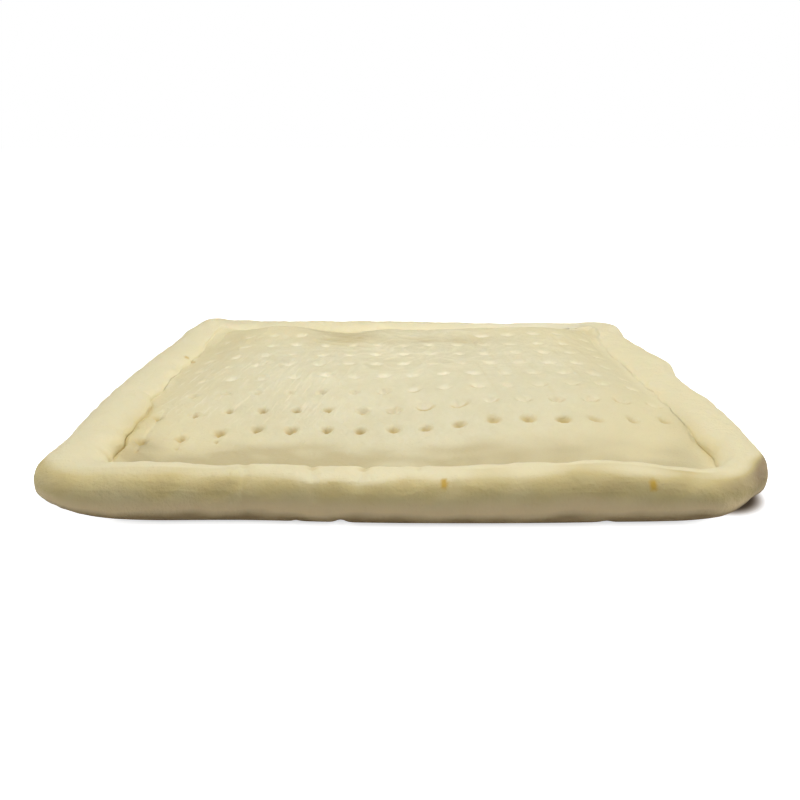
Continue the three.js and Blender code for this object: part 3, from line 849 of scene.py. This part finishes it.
def dough_mesh():
    """The whole base: skin, then docking, then kneaded lumps along the normals, then lean and centre. Gives
    the piece and how far it was moved to centre it."""
    points, groove_shade, rimmed, quads, fan = skin()
    around = COLUMNS.shape[1]
    first_of_grid = len(points) - 1 - (LONG_STEPS + 1) * (SHORT_STEPS + 1)
    on_grid = slice(first_of_grid, len(points) - 1)
    holes = docking_holes()
    drawn = draw_in(points[on_grid], holes)
    drawn[:, 2] = panel_height(drawn[:, 0], drawn[:, 1])
    points[on_grid] = drawn
    x, y, z = points.T.copy()

    number = np.arange(len(points))
    on_top = (number >= first_of_grid - (SHOULDER_ROWS - 1) * around) & (number < len(points) - 1)
    outer_rings = len(UNDERSIDE_RINGS) + FOOT_ROWS + np.count_nonzero(section_angles() < CREST_ANGLE)
    outer = (number < outer_rings * around) | (number == len(points) - 1)

    lowered, pit_shade, lit_walls = (part * on_top for part in dock(x, y, holes))
    marks = (pull_marks(x, y) + wavy(x, y)) * on_top
    panel_creases = sum(streak(x, y, line) for line in PANEL_CREASES) * on_top
    points[:, 2] -= lowered
    points[:, 2] += marks + panel_creases
    normals = vertex_normals(points, quads, fan)
    above = smooth_step(*FOOT_SMOOTH, z)
    on_rim = above * ~on_top
    rim_creases = sum(streak(x, y, line) for line in RIM_CREASES) * on_rim
    lumps = kneaded(x, y, z, above, on_rim) + rim_creases - foot_notches(x, y, points[:, 2])
    points += normals * lumps[:, None]

    back = (points[:, 1] + DEPTH / 2) / DEPTH
    points[:, 0] += LEFT_TAPER * back * np.maximum(-points[:, 0], 0.0) / (LENGTH / 2)
    middle = (points.min(axis=0) + points.max(axis=0)) / 2
    points[:, :2] -= middle[:2]
    points[:, 2] = np.maximum(points[:, 2], 0.0)

    furrows = np.minimum(marks, 0.0)
    ridges = np.maximum(marks, 0.0)
    # painted shade, as a tan, in the groove, the creases and the furrows and on the panel's sunken back
    dip_shade = groove_shade - RIM_CREASE_SHADE * rim_creases - PANEL_CREASE_SHADE * panel_creases - FURROW_SHADE * furrows
    dip_shade += added_by(PANEL_SHADES, x, y) * on_top
    crust_and_shade, sweat_and_reflection = crust_and_shade_share(x, y, z, outer, dip_shade)
    warmth = smooth_step(*WARM_FROM, np.hypot(x / WARM_EDGE[0], y / WARM_EDGE[1]))
    pulled = smooth_step(*PULLED_LEFT, x) * smooth_step(*PULLED_FRONT, y) * smooth_step(*PULLED_BACK, y)
    shares = {
        # baked crust, with painted shade on the front's turn, at the foot, round the right corner and in the
        # dips
        "crust_and_shade": crust_and_shade,
        # the paler foot, partly a painted reflection of the table
        "sweat_and_reflection": sweat_and_reflection,
        # painted shade on the panel's front strip and patches
        "painted_shade": painted_shade_share(x, y, on_top),
        # pale ridges and flour, with the painted highlights on the holes' far walls
        "pale_and_highlight": np.clip(lit_walls + RIDGE_PALE * ridges + added_by(FLOURED, x, y) * rimmed, 0.0, 1.0),
        # painted shade inside the docking pits
        "pit": pit_shade,
        # the rim's paler look, partly its own colour and partly painted light
        "rim": rimmed * lerp(RIM_SHARE, smooth_step(*RIM_TURNS, x)),
        "warm": warmth * on_top,
        "pulled": pulled * on_top,
        "fleck": fleck_share(points),
    }
    return linked_piece("dough", points, [*quads.tolist(), *fan.tolist()], shares), middle


def linked_piece(name, points, faces, shares):
    """A smooth piece in the scene, with each share stored as a value on its points."""
    mesh = bpy.data.meshes.new(name)
    mesh.from_pydata((points * MM).tolist(), [], faces)
    mesh.polygons.foreach_set("use_smooth", np.ones(len(mesh.polygons), bool))
    for share_name, share in shares.items():
        values = mesh.attributes.new(share_name, "FLOAT", "POINT").data
        values.foreach_set("value", share.astype(np.float32))
    mesh.update()
    piece = bpy.data.objects.new(name, mesh)
    bpy.context.scene.collection.objects.link(piece)
    return piece


# ---------------------------------------------------------------- material

# The dough's skin, by random grain: its size in millimetres, how much finer detail it has, and how strong
# that is. Real grains of flour are a tenth of a millimetre across and wouldn't show, so the finest grain is
# drawn more than ten times coarser.
GRAINS = {
    "flour": (1.4, 3.0, 0.5),
    "crumb": (5.0, 4.0, 0.7),
    "cream": (30.0, 7.0, 0.78),
    "tan": (14.0, 3.0, 0.5),
    "brown": (12.0, 4.0, 0.6),
}
# Raised threads: the grain's size along X and along Y, its turn, and the share that says where they are.
# The panel's lean right as the pull marks do, and the rim's run from left to right as the wrinkles do.
THREADS = {
    "panel threads": (2.4, 16.0, -math.atan(PULL_LEAN), "pulled"),
    "rim threads": (60.0, 3.2, 0.0, "rim"),
}
THREAD_PEAKS = (0.58, 0.74)  # how high in the grain a thread begins and where it is full
# The two tones of each colour that has a grain.
TONES = {
    "cream": ("#cdc39a", "#e9e2c4"),
    "tan": ("#cebf88", "#cfbb80"),
    "brown": ("#8f7952", "#a9936c"),
}
# What lies on the cream, from the lowest layer up: the share or threads that lay it on, where in that share
# it begins and where it is full, and its colour or tones. The rim's layer is partly painted light; the
# panel's dull layer, the pits' tan and the crust's tan and brown carry painted shade; the pale layer holds
# painted highlights on the holes' far walls; and the paler foot is partly a painted reflection of the table.
LAYERS = [
    ("warm", 0.0, 1.0, "#e0d4a9"),
    ("rim", 0.0, 1.0, "#e8ddb5"),
    ("painted_shade", 0.0, 1.0, "#c6b88e"),
    ("pit", 0.0, 1.0, "#c9b274"),
    ("pale_and_highlight", 0.0, 1.0, "#efe7ca"),
    ("panel threads", 0.0, 1.0, "#e6ddbc"),
    ("crust_and_shade", 0.0, 0.5, "tan"),
    ("sweat_and_reflection", 0.0, 1.0, "#e4cfa2"),
    ("crust_and_shade", 0.5, 1.0, "brown"),
    ("fleck", 0.0, 1.0, "#cba643"),
]
# Bumps, each on top of the one before: the grain or threads, how strong they are and how deep.
BUMPS = [
    ("flour", 0.45, 0.4),
    ("crumb", 0.7, 1.5),
    ("panel threads", 0.5, 0.3),
    ("rim threads", 0.4, 0.4),
]


def linear(hex_colour):
    """An sRGB hex colour as linear red, green, blue and alpha 1."""
    channels = [int(hex_colour[i : i + 2], 16) / 255 for i in (1, 3, 5)]
    return (*[c / 12.92 if c <= 0.04045 else ((c + 0.055) / 1.055) ** 2.4 for c in channels], 1.0)


def add_node(tree, kind, inputs=None, **settings):
    """Adds a node: settings are its properties, and each input takes a value or another node's output."""
    made = tree.nodes.new(kind)
    for name, value in settings.items():
        setattr(made, name, value)
    for key, value in (inputs or {}).items():
        if isinstance(value, bpy.types.NodeSocket):
            tree.links.new(value, made.inputs[key])
        else:
            made.inputs[key].default_value = value
    return made


def dough_patterns(tree):
    """Every pattern the dough's skin is made of, by name: the grains, the shares stored on the mesh, and the
    threads. Threads are grain that is longer one way, of which only the peaks count, times their share."""
    place = add_node(tree, "ShaderNodeTexCoord").outputs["Object"]
    patterns = {}
    for name, (size, detail, roughness) in GRAINS.items():
        grain = {"Vector": place, "Scale": 1.0 / (size * MM), "Detail": detail, "Roughness": roughness}
        patterns[name] = add_node(tree, "ShaderNodeTexNoise", grain).outputs["Fac"]
    for name in ("crust_and_shade", "sweat_and_reflection", "painted_shade", "pale_and_highlight", "pit", "rim", "warm", "pulled", "fleck"):
        patterns[name] = add_node(tree, "ShaderNodeAttribute", attribute_name=name).outputs["Fac"]
    for name, (size_x, size_y, turn, share) in THREADS.items():
        drawn = {"Vector": place, "Rotation": (0, 0, turn), "Scale": (size_x * MM, size_y * MM, size_y * MM)}
        drawn = add_node(tree, "ShaderNodeMapping", drawn, vector_type="TEXTURE").outputs["Vector"]
        grain = {"Vector": drawn, "Scale": 1.0, "Detail": 1.0}
        grain = add_node(tree, "ShaderNodeTexNoise", grain).outputs["Fac"]
        peaks = {"Value": grain, "From Min": THREAD_PEAKS[0], "From Max": THREAD_PEAKS[1]}
        peaks = add_node(tree, "ShaderNodeMapRange", peaks).outputs["Result"]
        lines = add_node(tree, "ShaderNodeMath", {0: peaks, 1: patterns[share]}, operation="MULTIPLY")
        patterns[name] = lines.outputs["Value"]
    return patterns


def dough_material():
    """Par-baked wheat dough: rolled, docked, folded over at the edge and baked until it is only just set.
    The skin is dry and matt, light sinks into it a little, it is cream with a paler, floury bloom where it
    was stretched, and the outer side has begun to tan. Its colour also carries painted light and shade:
    painted shade in the holes, grooves and creases, along the front strip and in the tan of the outer side
    and its foot, painted highlights on the holes' far walls, painted light on the rim, and a painted
    reflection of the table on the rim's lower side."""
    material = bpy.data.materials.new("par_baked_dough")
    material.use_nodes = True
    tree = material.node_tree
    tree.nodes.clear()
    patterns = dough_patterns(tree)

    tones = {}
    for name, (first, second) in TONES.items():
        ends = {0: patterns[name], 6: linear(first), 7: linear(second)}
        tones[name] = add_node(tree, "ShaderNodeMix", ends, data_type="RGBA").outputs[2]
    colour = tones["cream"]
    for name, start, full, tint in LAYERS:
        laid = {"Value": patterns[name], "From Min": start, "From Max": full}
        laid = add_node(tree, "ShaderNodeMapRange", laid).outputs["Result"]
        tint = tones[tint] if tint in tones else linear(tint)
        colour = add_node(tree, "ShaderNodeMix", {0: laid, 6: colour, 7: tint}, data_type="RGBA").outputs[2]

    bumped = {}
    for name, strength, depth in BUMPS:
        bumped.update({"Height": patterns[name], "Strength": strength, "Distance": depth * MM})
        bumped["Normal"] = add_node(tree, "ShaderNodeBump", bumped).outputs["Normal"]

    finish = {
        "Base Color": colour,
        "Roughness": 0.6,
        "IOR": 1.45,
        "Subsurface Weight": 0.3,
        "Subsurface Radius": (1.0, 0.7, 0.4),
        "Subsurface Scale": 4.0 * MM,
        "Normal": bumped["Normal"],
    }
    shader = add_node(tree, "ShaderNodeBsdfPrincipled", finish).outputs[0]
    add_node(tree, "ShaderNodeOutputMaterial", {"Surface": shader})
    return material


# ---------------------------------------------------------------- stage

CAMERA_HEIGHT = 183.0
CAMERA_BACK = 447.0
CAMERA_SIDE = -1.0
CAMERA_PITCH = 21.2
CAMERA_LENS = 31.8
CAMERA_NEAREST = 10.0  # nothing nearer to it is drawn
SENSOR = 36.0

# The studio's lamps: where each hangs, its width and its power in watts. All look at the base.
LAMPS = {
    "overhead": ((0.0, 0.0, 800.0), 400.0, 4.8),
    "left": ((-2000.0, 0.0, 800.0), 800.0, 15.0),
    "right": ((2000.0, 0.0, 800.0), 800.0, 20.0),
    "front": ((0.0, -2000.0, 800.0), 800.0, 7.0),
}
WORLD_LIGHT = 0.02
WHITE = "#ffffff"
FLOOR_HALF = 6000.0
FLOOR_COLOUR = "#c4c4c4"
FLOOR_ROUGHNESS = 0.6
TABLE_DROP = 0.05  # so that the table and the flat underside do not share one plane
SHADE_COLOUR = "#b09a80"  # the warm tint of the painted shadow on the table
# The table's own colour where the painted corner shadow is darkest.
SHADE_FLOOR = "#6a5a48"
CONTACT_REACH = 5.0  # how far out the painted dark contact shadow round the foot fades
CONTACT_OPEN = 0.4  # how open to the sky the table is where that line ends
CONTACT_GLOW = 0.5  # how much of the glow is left right at the foot
CORNER_SHADE_AT = (164.0, -112.0, 0.0)  # the painted soft shadow under the right front corner
CORNER_SHADE_REACH = (17.4, 26.8)  # where it begins to fade and where it ends


def make_camera(middle_x, middle_y):
    """The camera, in front of the base and above it, looking back and down. It is placed from the sheet's
    own middle, so it is moved as the base was when that was centred."""
    data = bpy.data.cameras.new("camera")
    data.lens = CAMERA_LENS
    data.sensor_width = SENSOR
    data.clip_start = CAMERA_NEAREST * MM
    camera = bpy.data.objects.new("camera", data)
    camera.location = Vector((CAMERA_SIDE - middle_x, -CAMERA_BACK - middle_y, CAMERA_HEIGHT)) * MM
    camera.rotation_euler = (math.radians(90 - CAMERA_PITCH), 0.0, 0.0)
    bpy.context.scene.collection.objects.link(camera)
    bpy.context.scene.camera = camera


def floor_material():
    """A matt white laminate table. Where the camera sees it, it glows, so that it runs into the white
    behind. The glow is times how open the table is to the sky, which paints a thin dark contact shadow round
    the foot, and it fades to a painted soft warm shadow under the right front corner."""
    material = bpy.data.materials.new("white_table")
    material.use_nodes = True
    tree = material.node_tree
    tree.nodes.clear()
    sky = add_node(tree, "ShaderNodeAmbientOcclusion", {"Distance": CONTACT_REACH * MM}).outputs["AO"]
    contact = {"Value": sky, "From Max": CONTACT_OPEN, "To Min": CONTACT_GLOW}
    contact = add_node(tree, "ShaderNodeMapRange", contact).outputs["Result"]
    place = add_node(tree, "ShaderNodeTexCoord").outputs["Object"]
    corner = {0: place, 1: Vector(CORNER_SHADE_AT) * MM}
    away = add_node(tree, "ShaderNodeVectorMath", corner, operation="DISTANCE").outputs["Value"]
    fade = {"Value": away, "From Min": CORNER_SHADE_REACH[0] * MM, "From Max": CORNER_SHADE_REACH[1] * MM}
    lit = add_node(tree, "ShaderNodeMapRange", fade, interpolation_type="SMOOTHSTEP").outputs["Result"]
    glow = add_node(tree, "ShaderNodeMath", {0: lit, 1: contact}, operation="MULTIPLY").outputs["Value"]
    seen = add_node(tree, "ShaderNodeLightPath").outputs["Is Camera Ray"]
    glow = add_node(tree, "ShaderNodeMath", {0: glow, 1: seen}, operation="MULTIPLY").outputs["Value"]
    tinted = {0: lit, 6: linear(SHADE_COLOUR), 7: linear(WHITE)}
    bare = {0: lit, 6: linear(SHADE_FLOOR), 7: linear(FLOOR_COLOUR)}
    finish = {
        "Base Color": add_node(tree, "ShaderNodeMix", bare, data_type="RGBA").outputs[2],
        "Roughness": FLOOR_ROUGHNESS,
        "Emission Color": add_node(tree, "ShaderNodeMix", tinted, data_type="RGBA").outputs[2],
        "Emission Strength": glow,
    }
    shader = add_node(tree, "ShaderNodeBsdfPrincipled", finish).outputs[0]
    add_node(tree, "ShaderNodeOutputMaterial", {"Surface": shader})
    return material


def make_floor():
    """The table the base lies on, a wide flat square. It is staging, not a piece of the base."""
    mesh = bpy.data.meshes.new("table")
    far = FLOOR_HALF * MM
    mesh.from_pydata([(-far, -far, 0), (far, -far, 0), (far, far, 0), (-far, far, 0)], [], [(0, 1, 2, 3)])
    mesh.materials.append(floor_material())
    floor = bpy.data.objects.new("table", mesh)
    floor.location.z = -TABLE_DROP * MM
    bpy.context.scene.collection.objects.link(floor)


def make_lights():
    """The round lamps, and a world that is white to the camera and gives only a little light itself."""
    for name, (at, size, power) in LAMPS.items():
        data = bpy.data.lights.new(name, "AREA")
        data.shape = "DISK"
        data.size = size * MM
        data.energy = power
        lamp = bpy.data.objects.new(name, data)
        lamp.location = Vector(at) * MM
        lamp.rotation_euler = Vector(at).to_track_quat("Z", "Y").to_euler()
        bpy.context.scene.collection.objects.link(lamp)
    world = bpy.data.worlds.new("studio")
    bpy.context.scene.world = world
    world.use_nodes = True
    tree = world.node_tree
    background = tree.nodes["Background"]
    background.inputs["Color"].default_value = linear(WHITE)
    seen = add_node(tree, "ShaderNodeLightPath").outputs["Is Camera Ray"]
    strength = add_node(tree, "ShaderNodeMapRange", {"Value": seen, "To Min": WORLD_LIGHT, "To Max": 1.0})
    tree.links.new(strength.outputs["Result"], background.inputs["Strength"])


dough, middle = dough_mesh()
dough.data.materials.append(dough_material())
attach(dough, "root")
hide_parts("pizza_base")

make_camera(middle[0], middle[1])
make_floor()
make_lights()
bpy.context.scene.view_settings.view_transform = "Standard"
